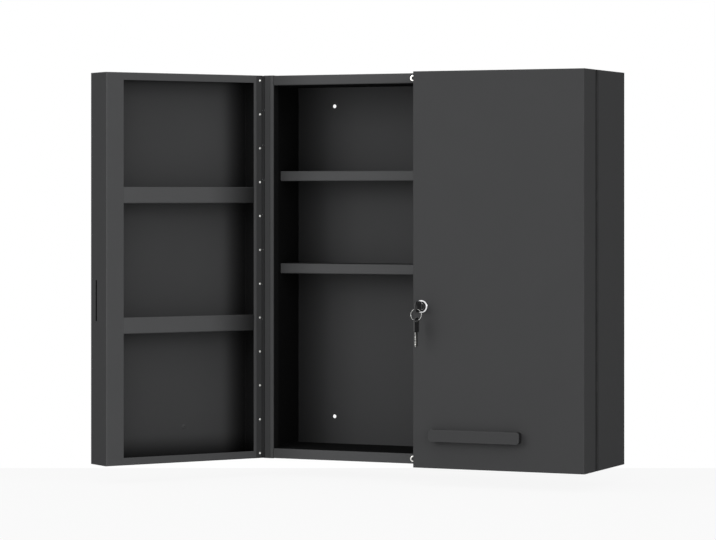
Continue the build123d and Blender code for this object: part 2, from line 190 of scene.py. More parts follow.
class CabinetFinishes(bpy.types.PropertyGroup):
    """Colours and textures of the finishes, and the light and shade painted into the coat."""

    coat_colour: rgb("Coat colour", "Colour of the powder coat", (0.0500, 0.0505, 0.0515))
    coat_roughness: level("Coat roughness", "Roughness of the powder coat", 0.74)
    coat_gloss: level("Coat gloss", "Strength of the powder coat's sheen", 0.015)
    # Painted light and shade, as factors on the coat's colour: light on the flanges and lips, shade in the corners
    # behind them, light on the doors' fronts, shade on the outer sides, a painted shadow along the hinges and
    # shade on the knuckles
    painted_flange_light: level("Full coat", "How full the coat is on flanges and lips", 1.45, 2.0)
    painted_corner_shade: level("Thin coat", "How full the coat is in the corners behind flanges", 0.2)
    painted_front_light: level("Front coat", "How full the coat is on the doors' fronts", 1.12, 2.0)
    painted_side_shade: level("Side coat", "How full the coat is on the outer sides", 0.86, 2.0)
    painted_hinge_shadow: level("Hinge rub", "How much the coat is rubbed off along the hinges", 0.28, 0.8)
    painted_knuckle_shade: level("Knuckle coat", "How full the coat is on the knuckles", 0.55)
    coat_grain: metres("Coat grain", "Width of the bumps in the powder coat", 0.0011)
    plastic_colour: rgb(
        "Plastic colour", "Colour of the key heads and handle feet", (0.0130, 0.0130, 0.0135)
    )
    # Colour of the painted highlight along the key heads' narrow sides
    edge_highlight_colour: rgb(
        "Parting line colour", "Colour of the key heads' rubbed edges", (0.060, 0.060, 0.061)
    )
    chrome_colour: rgb(
        "Chrome colour", "Colour of the lock and the split ring", (0.80, 0.80, 0.81)
    )
    zinc_colour: rgb(
        "Zinc colour", "Colour of the plated screws, rivets and pins", (0.80, 0.80, 0.78)
    )


class CabinetFittings(bpy.types.PropertyGroup):
    """Sizes of the small fittings, in metres."""

    rivet_count: bpy.props.IntProperty(
        name="Rivets", description="Rivets along each hinge", min=1, default=12
    )
    rivet_radius: metres("Rivet head", "Radius of a rivet's domed head", 0.002)
    rivet_dome: metres("Rivet dome", "Height of a rivet's domed head", 0.0006)
    rivet_end: metres("Rivet to end", "Distance from a hinge's end to its first rivet", 0.0087)
    rivet_in: metres("Rivet to side", "Distance from the shut door's side to its rivets", 0.0056)
    wire_radius: metres("Ring wire", "Radius of the split ring's wire", 0.00045)
    wire_pitch: metres("Ring pitch", "Step from one turn of the ring to the next", 0.0009)


class CabinetStudio(bpy.types.PropertyGroup):
    """The camera, the lights and the floor."""

    lens: bpy.props.FloatProperty(
        name="Lens",
        description="Focal length of the camera, in millimetres",
        unit="CAMERA",
        default=148.849,
    )
    shift: bpy.props.FloatProperty(
        name="Shift", description="Vertical shift of the camera's frame", default=-0.10662
    )
    camera_place: bpy.props.FloatVectorProperty(
        name="Camera",
        description="Where the camera stands",
        subtype="TRANSLATION",
        unit="LENGTH",
        default=(1.89529, -4.66950, 0.11718),
    )
    camera_turn: degrees("Camera turn", "Angle from the cabinet's depth to the view", 24.0140)
    floor_drop: metres("Floor drop", "How far the floor lies under the cabinet", 0.03)
    floor_far: metres("Floor end", "How far from the camera the floor ends", 5.172)
    floor_wide: metres("Floor width", "Size of the floor across the view", 6.0)
    floor_deep: metres("Floor depth", "Size of the floor along the view", 4.0)
    floor_colour: rgb("Floor colour", "Colour of the floor", (0.80, 0.80, 0.80))
    floor_white: level("Floor white", "Level that the floor is lifted to", 0.976)
    floor_lift: level("Floor lift", "Share of that level; the rest holds the shadow", 0.93)
    left_light: bpy.props.FloatProperty(
        name="Left light",
        description="Power of the left-hand light, in watts",
        unit="POWER",
        default=40.0,
    )
    right_light: bpy.props.FloatProperty(
        name="Right light",
        description="Power of the right-hand light, in watts",
        unit="POWER",
        default=32.4,
    )
    left_round: degrees("Left light's place", "Angle of the left-hand light from the front", -30)
    right_round: degrees("Right light's place", "Angle of the right-hand light from the front", 75)
    lamp_rise: degrees("Lamp rise", "Angle of the lights above the level", 15)
    lamp_size: metres("Lamp size", "Side of each light's square panel", 2.0)
    lamp_far: metres("Lamp distance", "Distance from each light to the cabinet", 3.9)
    sky: level("Sky", "Brightness of the surroundings in front of the cabinet", 0.93)
    back_sky: level("Sky behind", "Brightness of the surroundings behind the cabinet", 0.18)


class Wire:
    """A shader socket that takes part in sums like a number."""

    def __init__(self, finish, socket):
        self.finish = finish
        self.socket = socket

    def sum_with(self, operation, first, second):
        """Adds the Math node of one operation."""
        return self.finish.node("ShaderNodeMath", {"operation": operation}, {0: first, 1: second})

    def __add__(self, other):
        return self.sum_with("ADD", self, other)

    __radd__ = __add__

    def __sub__(self, other):
        return self.sum_with("SUBTRACT", self, other)

    def __rsub__(self, other):
        return self.sum_with("SUBTRACT", other, self)

    def __mul__(self, other):
        return self.sum_with("MULTIPLY", self, other)

    __rmul__ = __mul__

    def __pow__(self, other):
        return self.sum_with("POWER", self, other)

    def __or__(self, other):
        """The larger of two values."""
        return self.sum_with("MAXIMUM", self, other)

    __ror__ = __or__


class Finish:
    """The nodes of a material or of the surroundings, added one by one."""

    def __init__(self, owner):
        self.owner = owner
        owner.use_nodes = True
        self.tree = owner.node_tree
        self.tree.nodes.clear()

    def node(self, kind, settings=None, sockets=None, out=0):
        """Adds a node: its settings first, then the values or links of its sockets."""
        made = self.tree.nodes.new(kind)
        for name, value in (settings or {}).items():
            setattr(made, name, value)
        for name, value in (sockets or {}).items():
            if isinstance(value, Wire):
                self.tree.links.new(value.socket, made.inputs[name])
            else:
                made.inputs[name].default_value = value
        return Wire(self, made.outputs[out]) if made.outputs else None

    def place(self):
        """The Object coordinates."""
        return self.node("ShaderNodeTexCoord", out="Object")

    def noise(self, width, detail=2.0, roughness=0.5, stretch=(1, 1, 1)):
        """Noise from 0 to 1 whose lumps have a width in metres."""
        spot = self.node("ShaderNodeMapping", {}, {"Vector": self.place(), "Scale": stretch})
        sockets = {"Vector": spot, "Scale": 1.0 / width, "Detail": detail, "Roughness": roughness}
        return self.node("ShaderNodeTexNoise", {}, sockets, "Fac")

    def steps(self, value, low, high):
        """A value eased from 0 at the low mark to 1 at the high one."""
        sockets = {"Value": value, "From Min": low, "From Max": high}
        return self.node("ShaderNodeMapRange", {"interpolation_type": "SMOOTHSTEP"}, sockets)

    def blend(self, share, first, second):
        """Two colours mixed by a share."""
        sockets = {0: share, 6: first, 7: second}
        return self.node("ShaderNodeMix", {"data_type": "RGBA"}, sockets, 2)

    def vectors(self, operation, first, second):
        """Two vectors or colours taken together, part by part."""
        sockets = {0: first, 1: second}
        return self.node("ShaderNodeVectorMath", {"operation": operation}, sockets)

    def scaled(self, colour, share):
        """A colour made lighter or darker by a value."""
        sockets = {0: colour, "Scale": share}
        return self.node("ShaderNodeVectorMath", {"operation": "SCALE"}, sockets)

    def parts(self, vector):
        """The X, Y and Z of a vector."""
        split = self.node("ShaderNodeSeparateXYZ", {}, {"Vector": vector})
        return [Wire(self, socket) for socket in split.socket.node.outputs]

    def bump(self, height, strength, depth):
        """A Bump node; the depth is in metres."""
        sockets = {"Height": height, "Strength": strength, "Distance": depth}
        return self.node("ShaderNodeBump", {}, sockets)

    def surface(self, **sockets):
        """Ends the material with a Principled shader."""
        named = {name.replace("_", " "): value for name, value in sockets.items()}
        shader = self.node("ShaderNodeBsdfPrincipled", {}, named, "BSDF")
        self.node("ShaderNodeOutputMaterial", {}, {"Surface": shader})
        return self.owner

    def off_centre(self, centre):
        """How far each point lies from a centre, along X, Y and Z, without a sign."""
        spot = self.vectors("SUBTRACT", self.place(), centre)
        return self.parts(self.node("ShaderNodeVectorMath", {"operation": "ABSOLUTE"}, {0: spot}))

    def seen(self):
        """1 for what the camera, polished metal or glass sees, 0 for light going to the cabinet."""
        path = self.node("ShaderNodeLightPath").socket.node.outputs
        rays = [Wire(self, path[f"Is {kind} Ray"]) for kind in ("Camera", "Glossy", "Transmission")]
        return rays[0] | rays[1] | rays[2]


def opaque(colour):
    """A colour with its alpha."""
    return (*colour, 1.0)


def tinted(colour, factor):
    """A colour made lighter or darker."""
    return (*(min(1.0, part * factor) for part in colour), 1.0)


def from_middle(finish, low, high, turn, pivot):
    """How far a point lies from the middle of a box that may be turned about an upright axis."""
    spot = finish.place()
    if turn:
        spot = finish.vectors("SUBTRACT", spot, pivot)
        sockets = {"Vector": spot, "Angle": -turn}
        spot = finish.node("ShaderNodeVectorRotate", {"rotation_type": "Z_AXIS"}, sockets)
        spot = finish.vectors("ADD", spot, pivot)
    return finish.parts(finish.vectors("SUBTRACT", spot, (low + high) / 2))


def unsigned(part):
    """A coordinate without its sign."""
    return part | part * -1.0


def painted_flange_strength(finish, spot, half, flange):
    """The light painted along a flange, from its middle to its ends."""
    sizes = bpy.context.scene.cabinet_finishes
    middle, end = flange.middle * sizes.painted_flange_light, flange.end * sizes.painted_flange_light
    if not flange.fade:
        return middle
    to_end = half.x - (unsigned(spot[0]) if flange.side == 0 else flange.side * spot[0])
    return finish.steps(to_end, flange.fade, 0.0) * (end - middle) + middle


def painted_light_and_shade(finish, spot, half, sheet):
    """The light and shade painted on a folded sheet, as a factor on the coat's colour: painted light on
    the flanges round its opening, painted shade in the corners behind them, a door's front lighter than
    its sides, and a painted shadow on a panel's sides where they meet the hinge."""
    sizes = bpy.context.scene.cabinet_finishes
    behind = half.y - sheet.opening * spot[1]
    strength = sheet.inside
    lies_flat = sheet.opening == -1 and sheet.outer_faces and sheet.outer_faces[0][0] == 2
    set_in = SET_IN if lies_flat else 0.0
    depths = [half[axis] - set_in - sign * spot[axis] for axis, sign, _, _ in sheet.outer_faces]
    if depths:
        closed = half.y + sheet.opening * spot[1]
        past = [(BEND - depth) | 0.0 for depth in (closed, *depths)]
        depth_in = BEND - sum(part * part for part in past) ** 0.5
        inside = finish.steps(depth_in, 0.4 * SHEET, 0.7 * SHEET)
        # A door's front painted lighter than its sides; a panel's sides painted darker, with a painted shadow
        # along the hinge
        if sheet.opening == 1:
            side_shade_share = finish.steps(closed, *FRONT_LIGHT_TO_SIDE_SHADE)
            outer_painted_shading = sizes.painted_front_light - side_shade_share * (sizes.painted_front_light - sizes.painted_side_shade)
        else:
            hinge_shadow_share = finish.steps(behind, *HINGE_SHADOW_STRIP)
            outer_painted_shading = sizes.painted_side_shade - hinge_shadow_share * sizes.painted_hinge_shadow
        strength = outer_painted_shading + inside * (sheet.inside - outer_painted_shading)
        # Painted shade in the corners behind the outer faces
        for depth, (_, _, reach, share) in zip(depths, sheet.outer_faces):
            corner = inside * finish.steps(depth, reach, 0.0)
            strength = strength * (1.0 - corner * (share * (1.0 - sizes.painted_corner_shade)))
    # Painted light on the flanges round the opening
    if sheet.flange:
        painted_flange_mask = finish.steps(behind, 3.0 * SHEET, 1.6 * SHEET)
        if not set_in:
            for depth in depths:
                painted_flange_mask = painted_flange_mask * finish.steps(depth, 0.0, 0.6 * SHEET)
        strength = strength + painted_flange_mask * (painted_flange_strength(finish, spot, half, sheet.flange) - strength)
    return strength


def powder_coat(name, low, high, turn=0.0, pivot=(0, 0, 0), sheet=None, hinge_axis=None):
    """Dark grey powder coat: orange-peel grain, a cloudy sheen, outer edges worn lighter, which also
    paints a highlight along them, the sheet's painted light and shade, and knuckles painted in shade
    about a hinge's axis."""
    sizes = bpy.context.scene.cabinet_finishes
    finish = Finish(bpy.data.materials.new(name))
    spot = from_middle(finish, low, high, turn, pivot)
    half = (high - low) / 2
    near = [finish.steps(size - unsigned(part), EDGE_WEAR_AND_HIGHLIGHT, 0.0) for size, part in zip(half, spot)]
    clouds = finish.noise(0.09, 3.0)
    specks = finish.noise(0.0016, 1.0)
    # Outer edges worn lighter; this also paints a highlight along them
    edge = (near[0] * near[1]) | (near[1] * near[2]) | (near[0] * near[2])
    edge = edge * finish.steps(finish.noise(0.03, 4.0), 0.35, 0.7)
    dull, clear = tinted(sizes.coat_colour, 0.965), tinted(sizes.coat_colour, 1.035)
    colour = finish.blend(clouds, dull, clear)
    if sheet:
        colour = finish.scaled(colour, painted_light_and_shade(finish, spot, half, sheet))
    # Knuckles painted in shade about the hinge's axis
    if hinge_axis:
        across, depth, _ = finish.off_centre(hinge_axis)
        from_axis = (across * across + depth * depth) ** 0.5
        knuckle_shade_share = finish.steps(from_axis, *KNUCKLE_SHADE)
        colour = finish.blend(knuckle_shade_share, colour, tinted(sizes.coat_colour, sizes.painted_knuckle_shade))
    speck = finish.steps(specks, 0.66, 0.8) * 0.35
    colour = finish.blend(speck, colour, tinted(sizes.coat_colour, 1.25))
    colour = finish.blend(edge * 0.30, colour, tinted(sizes.coat_colour, 1.9))
    rough = sizes.coat_roughness - 0.05 + clouds * 0.10 - edge * 0.08
    peel = finish.noise(sizes.coat_grain, 2.0, 0.55)
    waves = finish.noise(0.006, 1.0)
    normal = finish.bump(peel + waves * 0.8, 0.22, 0.00012)
    return finish.surface(
        Base_Color=colour, Roughness=rough, Normal=normal, Specular_IOR_Level=sizes.coat_gloss
    )


def metal(finish, tone, rough, rubs):
    """Ends a metal whose fine rubbing marks dull it and show in its face."""
    rough = rough + rubs * 0.08
    normal = finish.bump(rubs, 0.12, 0.00003)
    return finish.surface(Base_Color=tone, Roughness=rough, Metallic=1.0, Normal=normal)


def plated(name, colour, roughness, streak=0.3, grain=0.0005, tarnish=0.80):
    """Plated metal: fine rubbing marks in one direction and slight dull patches."""
    finish = Finish(bpy.data.materials.new(name))
    rubs = finish.noise(grain, 3.0, 0.6, (1, 1, streak))
    dull = finish.steps(finish.noise(0.004, 2.0), 0.45, 0.75)
    tone = finish.blend(dull * 0.6, opaque(colour), tinted(colour, tarnish))
    return metal(finish, tone, roughness + dull * 0.07, rubs)


def moulded_plastic(name, painted_highlight=False):
    """Matt black moulding: a spark-eroded grain, smoother patches and, on the key heads, a painted highlight along
    the middle of their narrow sides.
    """
    sizes = bpy.context.scene.cabinet_finishes
    finish = Finish(bpy.data.materials.new(name))
    grain = finish.noise(0.0004, 2.0, 0.6)
    rubbed = finish.steps(finish.noise(0.006, 2.0), 0.5, 0.75)
    colour = finish.blend(rubbed, opaque(sizes.plastic_colour), tinted(sizes.plastic_colour, 1.5))
    # A painted highlight along the middle of the key heads' narrow sides
    if painted_highlight:
        across = finish.off_centre(LOCK_CENTRE)[0]
        line = finish.steps(across, 0.00135, 0.0010) * finish.steps(grain, 0.2, 0.5)
        colour = finish.blend(line, colour, opaque(sizes.edge_highlight_colour))
    rough = 0.55 - rubbed * 0.12 + grain * 0.06
    normal = finish.bump(grain, 0.35, 0.00004)
    return finish.surface(
        Base_Color=colour, Roughness=rough, Normal=normal, Specular_IOR_Level=0.15
    )


def key_steel_painted_light(name):
    """Nickel-plated key: a painted highlight on its narrow edges and painted shade on its milled faces, with
    duller patches.
    """
    finish = Finish(bpy.data.materials.new(name))
    across = finish.off_centre(LOCK_CENTRE)[0]
    rubs = finish.noise(0.0005, 3.0, 0.6, (1, 1, 0.2))
    # The narrow edges get a painted highlight and the faces painted shade
    edge = finish.steps(across, 0.00045, 0.00058)
    dull = finish.steps(finish.noise(0.003, 2.0), 0.4, 0.7)
    worn = finish.blend(dull, opaque((0.13, 0.13, 0.125)), opaque((0.085, 0.085, 0.08)))
    tone = finish.blend(edge, opaque((0.50, 0.495, 0.48)), worn)
    return metal(finish, tone, 0.20 + edge * 0.15, rubs)


def plug_painted_reflection(name, chrome):
    """The lock's plug: a painted dark reflection on its face and a painted highlight in an upright strip where the
    key goes in.
    """
    finish = Finish(bpy.data.materials.new(name))
    across, _, up = finish.off_centre(LOCK_CENTRE)
    rubs = finish.noise(0.0005, 3.0, 0.6, (1, 1, 0.3))
    # Painted highlight in the upright strip; the rest of the face painted as a dark reflection
    painted_highlight_strip = finish.steps(across, 0.0030, 0.0026) * finish.steps(up, 0.0056, 0.0050)
    dark = finish.blend(rubs, opaque((0.055, 0.055, 0.056)), opaque((0.085, 0.085, 0.086)))
    tone = finish.blend(painted_highlight_strip, dark, tinted(chrome, 0.55))
    return metal(finish, tone, 0.32 - painted_highlight_strip * 0.12, rubs)


def door_turn(side):
    """How a door's point, given as if the door were shut, comes to where the door stands."""
    pivot = Matrix.Translation(JOINTS[f"{side}_door_swing"]["pos_m"])
    return pivot @ Matrix.Rotation(DOOR_OPEN[side], 4, "Z") @ pivot.inverted()


def facing(place, outward, upward=(0, 0, 1)):
    """The place of a piece modelled in millimetres: its Z points outwards and its Y upwards."""
    z = Vector(outward).normalized()
    x = Vector(upward).cross(z).normalized()
    turn = Matrix((x, z.cross(x), z)).transposed().to_4x4()
    return Matrix.Translation(place) @ turn @ Matrix.Scale(MM, 4)


def select_only(obj):
    """Makes one object the only selected and the active one."""
    for other in bpy.context.selected_objects:
        other.select_set(False)
    obj.select_set(True)
    bpy.context.view_layer.objects.active = obj


def start(name):
    """The primitive just added, named."""
    obj = bpy.context.active_object
    obj.name = name
    obj.data.name = name
    select_only(obj)
    return obj


def pick(obj, kind, test):
    """Selects in edit mode the edges, by their two points, or the faces that pass a test."""
    bpy.ops.object.mode_set(mode="EDIT")
    bpy.ops.mesh.select_mode(type=kind)
    bpy.ops.mesh.select_all(action="DESELECT")
    bpy.ops.object.mode_set(mode="OBJECT")
    mesh = obj.data
    points = [vertex.co for vertex in mesh.vertices]
    if kind == "EDGE":
        for edge in mesh.edges:
            edge.select = test(points[edge.vertices[0]], points[edge.vertices[1]])
    else:
        for face in mesh.polygons:
            face.select = test(face.center, face.normal)
    bpy.ops.object.mode_set(mode="EDIT")


def clean(obj):
    """Closes seams and points the faces outwards."""
    select_only(obj)
    bpy.ops.object.mode_set(mode="EDIT")
    bpy.ops.mesh.select_all(action="SELECT")
    bpy.ops.mesh.remove_doubles(threshold=0.002)
    bpy.ops.mesh.normals_make_consistent(inside=False)
    bpy.ops.object.mode_set(mode="OBJECT")


def rounded(corners, steps=4):
    """Points of a profile, with an arc of its own radius at each corner (x, y, radius)."""
    points = []
    count = len(corners)
    for number, (x, y, radius) in enumerate(corners):
        here = Vector((x, y))
        if not radius or number in (0, count - 1):
            points.append(here)
            continue
        back = (Vector(corners[number - 1][:2]) - here).normalized()
        ahead = (Vector(corners[number + 1][:2]) - here).normalized()
        half = back.angle(ahead) / 2
        centre = here + (back + ahead).normalized() * radius / math.sin(half)
        first = here + back * radius / math.tan(half) - centre
        last = here + ahead * radius / math.tan(half) - centre
        for step in range(steps + 1):
            share = step / steps
            points.append(centre + first.slerp(last, share).normalized() * radius)
    return points


def turned(name, corners, around=40, steps=4):
    """A turned piece: a vertex drawn along a profile of (radius, height, rounding), then spun
    about Z."""
    points = rounded(corners, steps)
    bpy.ops.mesh.primitive_plane_add(size=1.0, location=(0, 0, 0))
    obj = start(name)
    bpy.ops.object.mode_set(mode="EDIT")
    bpy.ops.mesh.select_mode(type="VERT")
    bpy.ops.mesh.select_all(action="SELECT")
    bpy.ops.mesh.merge(type="CENTER")
    bpy.ops.transform.translate(value=(points[0].x, 0, points[0].y))
    for before, after in zip(points, points[1:]):
        step = after - before
        bpy.ops.mesh.extrude_region_move(TRANSFORM_OT_translate={"value": (step.x, 0, step.y)})
    bpy.ops.mesh.select_all(action="SELECT")
    bpy.ops.mesh.spin(
        steps=around, angle=2 * math.pi, center=(0, 0, 0), axis=(0, 0, 1), use_auto_merge=True
    )
    bpy.ops.object.mode_set(mode="OBJECT")
    clean(obj)
    return obj


def bar(name, size, centre=(0, 0, 0), turn=0.0):
    """A block of a size, about a centre, turned about Z."""
    bpy.ops.mesh.primitive_cube_add(size=1.0, location=centre, rotation=(0, 0, turn), scale=size)
    obj = start(name)
    bpy.ops.object.transform_apply(location=True, rotation=True, scale=True)
    return obj


def modify(obj, kind, **settings):
    """Adds a modifier and applies it."""
    select_only(obj)
    modifier = obj.modifiers.new(kind.title(), kind)
    for name, value in settings.items():
        setattr(modifier, name, value)
    bpy.ops.object.modifier_apply(modifier=modifier.name)


def cut(obj, cutter, operation="DIFFERENCE"):
    """Cuts one piece with another, which is then removed."""
    modify(obj, "BOOLEAN", object=cutter, operation=operation, solver="EXACT")
    bpy.data.objects.remove(cutter)


def soften(obj, width, segments=2, limit=30):
    """Rounds the edges that are sharper than a limit in degrees."""
    sharp = math.radians(limit)
    modify(
        obj, "BEVEL", width=width, segments=segments, limit_method="ANGLE", angle_limit=sharp
    )


def copy_of(obj, name):
    """A copy with its own mesh."""
    twin = obj.copy()
    twin.data = obj.data.copy()
    twin.name = name
    twin.data.name = name
    bpy.context.collection.objects.link(twin)
    return twin


def joined(pieces):
    """Several pieces joined into the first."""
    select_only(pieces[0])
    for piece in pieces:
        piece.select_set(True)
    bpy.context.view_layer.objects.active = pieces[0]
    if len(pieces) > 1:
        bpy.ops.object.join()
    return pieces[0]


def settle(obj, matrix):
    """Puts a piece in its place and writes that place into its mesh."""
    select_only(obj)
    obj.matrix_world = matrix
    bpy.ops.object.transform_apply(location=True, rotation=True, scale=True)
    return obj


def hand_over(obj, body, material, slot, *nodes, angle=35):
    """Finishes a piece: shading, material, body and the CAD nodes that it stands for; the slot is not used."""
    select_only(obj)
    bpy.ops.object.shade_smooth_by_angle(angle=math.radians(angle))
    obj.data.materials.clear()
    obj.data.materials.append(material)
    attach(obj, body)
    if nodes:
        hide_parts(*nodes)


def cross_cutter(depth_from, depth, length, width):
    """A cross-shaped punch for a screw's recess."""
    middle = (0, 0, depth_from - depth / 2)
    arms = [
        bar("cross_arm", (length, width, depth), middle),
        bar("cross_arm", (width, length, depth), middle),
    ]
    cut(arms[0], arms[1], "UNION")
    pick(arms[0], "FACE", lambda centre, normal: normal.z < -0.9)
    bpy.ops.transform.resize(value=(0.55, 0.55, 1), center_override=(0, 0, 0))
    bpy.ops.object.mode_set(mode="OBJECT")
    return arms[0]


def part_material(name):
    """A finish that an earlier operator made."""
    return bpy.data.materials[name]


def coat_names():
    """The CAD nodes that the record gives the powder coat."""
    return [p["node"] for p in frame["record"]["subparts"] if p["material_slot"] == "powder_coat"]


class CabinetMakeFinishes(bpy.types.Operator):
    """Make the finishes and put them on the sheet-metal pieces."""

    bl_idname = "cabinet.make_finishes"
    bl_label = "Make finishes"

    def execute(self, context):
        sizes = context.scene.cabinet_finishes
        body = {n: b for b, names in BODIES.items() for n in names}
        for node in coat_names():
            low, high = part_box(node)
            turn, pivot, hinge_axis = 0.0, (0, 0, 0), None
            if body[node] == "left_door":
                turn, pivot = DOOR_OPEN["left"], JOINTS["left_door_swing"]["pos_m"]
                back = door_turn("left").inverted()
                corners = [back @ vertex.co for vertex in frame["nodes"][node].data.vertices]
                low = Vector([min(c[i] for c in corners) for i in range(3)])
                high = Vector([max(c[i] for c in corners) for i in range(3)])
            if "hinge" in node:
                side = node.split("_")[0]
                hinge_axis = JOINTS[f"{side}_door_swing"]["pos_m"]
            coat = powder_coat(
                f"coat_{node}", low, high, turn, pivot, PAINTED_SHEET_SHADING.get(node), hinge_axis
            )
            self.put_on(node, coat)
        plated("zinc_plate", sizes.zinc_colour, 0.30, 0.15, 0.0006, 0.78)
        plated("nickel_plate", (0.74, 0.73, 0.70), 0.20, tarnish=0.85)
        plated("bright_chrome", sizes.chrome_colour, 0.10, tarnish=0.88)
        plated("dark_steel", (0.05, 0.05, 0.05), 0.35)
        plated("ring_steel", (0.50, 0.50, 0.49), 0.22)
        key_steel_painted_light("key_steel_painted_light")
        plug_painted_reflection("plug_painted_reflection", sizes.chrome_colour)
        moulded_plastic("key_moulding", painted_highlight=True)
        moulded_plastic("black_moulding")
        for side in ("left", "right"):
            self.put_on(f"{side}_handle_feet", part_material("black_moulding"))
        self.put_on("lock_cam", part_material("zinc_plate"))
        return {"FINISHED"}

    def put_on(self, node, material):
        """Gives a CAD node its finish."""
        slots = frame["nodes"][node].data.materials
        slots.clear()
        slots.append(material)


class CabinetRivets(bpy.types.Operator):
    """Model the domed rivets along both hinges."""

    bl_idname = "cabinet.rivets"
    bl_label = "Hinge rivets"

    def execute(self, context):
        sizes = context.scene.cabinet_fittings
        head, dome = sizes.rivet_radius / MM, sizes.rivet_dome / MM
        shank, tail, foot_end = 1.2, 1.8, -2.8
        profile = [
            (0, dome, 0), (head * 0.62, dome * 0.9, 0.6), (head * 0.97, dome * 0.30, 0.15),
            (head, 0, 0), (shank, 0, 0), (shank, foot_end + 0.8, 0), (tail, foot_end + 0.8, 0),
            (tail, foot_end + 0.2, 0.2), (tail - 0.25, foot_end, 0), (shank / 2, foot_end, 0),
            (0.45, foot_end + 0.5, 0), (0, foot_end + 0.5, 0),
        ]
        for side, sign in (("left", -1), ("right", 1)):
            low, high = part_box(f"{side}_side_panel")
            foot = low.z + sizes.rivet_end
            pitch = (high.z - sizes.rivet_end - foot) / (sizes.rivet_count - 1)
            rivet = turned(f"{side}_rivets", profile, around=20, steps=2)
            settle(rivet, facing((0, 0, 0), (0, 1, 0)))
            modify(
                rivet,
                "ARRAY",
                count=sizes.rivet_count,
                use_relative_offset=False,
                use_constant_offset=True,
                constant_offset_displace=(0, 0, pitch),
            )
            across = abs(low.x if sign < 0 else high.x) - sizes.rivet_in
            shut = Matrix.Translation((sign * across, DOOR_RIM + SHEET, foot))
            settle(rivet, door_turn(side) @ shut)
            zinc = part_material("zinc_plate")
            hand_over(rivet, f"{side}_door", zinc, "zinc_steel", f"{side}_hinge_rivets")
        return {"FINISHED"}


class CabinetMagnets(bpy.types.Operator):
    """Model the four ring magnets and their countersunk cross-head screws."""

    bl_idname = "cabinet.magnets"
    bl_label = "Magnets"

    def execute(self, context):
        radius, thick, mouth, bore, sunk = 5.2, 2.6, 3.2, 1.8, 1.2
        ring = turned(
            "magnet",
            [
                (mouth, thick, 0.15), (radius, thick, 0.35), (radius, 0, 0.2), (bore, 0, 0),
                (bore, sunk, 0), (mouth, thick, 0),
            ],
            around=48,
        )
        head, top, shank, point = 2.75, 2.45, 1.5, -5.4
        screw = turned(
            "magnet_screw",
            [
                (0, top, 0), (head, top, 0.12), (shank, 0.9, 0), (shank, point + 0.8, 0),
                (0.9, point, 0), (0, point, 0),
            ],
            around=32,
        )
        cut(screw, cross_cutter(top + 0.15, 1.5, 3.2, 0.7))
        for side in ("left", "right"):
            low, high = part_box(f"{side}_door_magnets")
            across = (low.x + high.x) / 2
            for kind, made, material, slot in (
                ("door_magnets", ring, "nickel_plate", "nickel"),
                ("magnet_screws", screw, "dark_steel", "zinc_steel"),
            ):
                pair = []
                for height in (low.z + radius * MM, high.z - radius * MM):
                    piece = copy_of(made, f"{side}_{kind}_detail")
                    pair.append(settle(piece, facing((across, BODY_FACE, height), (0, -1, 0))))
                whole = joined(pair)
                hand_over(whole, "cabinet", part_material(material), slot, f"{side}_{kind}")
        for spent in (ring, screw):
            bpy.data.objects.remove(spent)
        return {"FINISHED"}


class CabinetHandleScrews(bpy.types.Operator):
    """Model the low-headed screws that hold the pull bars, inside the doors."""

    bl_idname = "cabinet.handle_screws"
    bl_label = "Handle screws"

    def execute(self, context):
        head, top, shank, point = 4.0, 1.6, 2.0, -14.5
        screw = turned(
            "handle_screw",
            [
                (0, top, 0), (1.8, top - 0.1, 2.0), (head, 0.25, 0.2), (head, 0, 0),
                (shank, 0, 0), (shank, point, 0.3), (0, point, 0),
            ],
            around=32,
        )
        cut(screw, cross_cutter(top + 0.2, 0.8, 3.4, 0.7))
        low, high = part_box("right_handle_screws")
        for side, sign in (("left", -1), ("right", 1)):
            pair = []
            for across in (low.x + head * MM, high.x - head * MM):
                piece = copy_of(screw, f"{side}_handle_screws_detail")
                inside = Vector((sign * across, DOOR_FACE + SHEET, (low.z + high.z) / 2))
                pair.append(settle(piece, door_turn(side) @ facing(inside, (0, 1, 0))))
            whole = joined(pair)
            node = f"{side}_handle_screws"
            hand_over(whole, f"{side}_door", part_material(f"coat_{node}"), "powder_coat", node)
        bpy.data.objects.remove(screw)
        return {"FINISHED"}


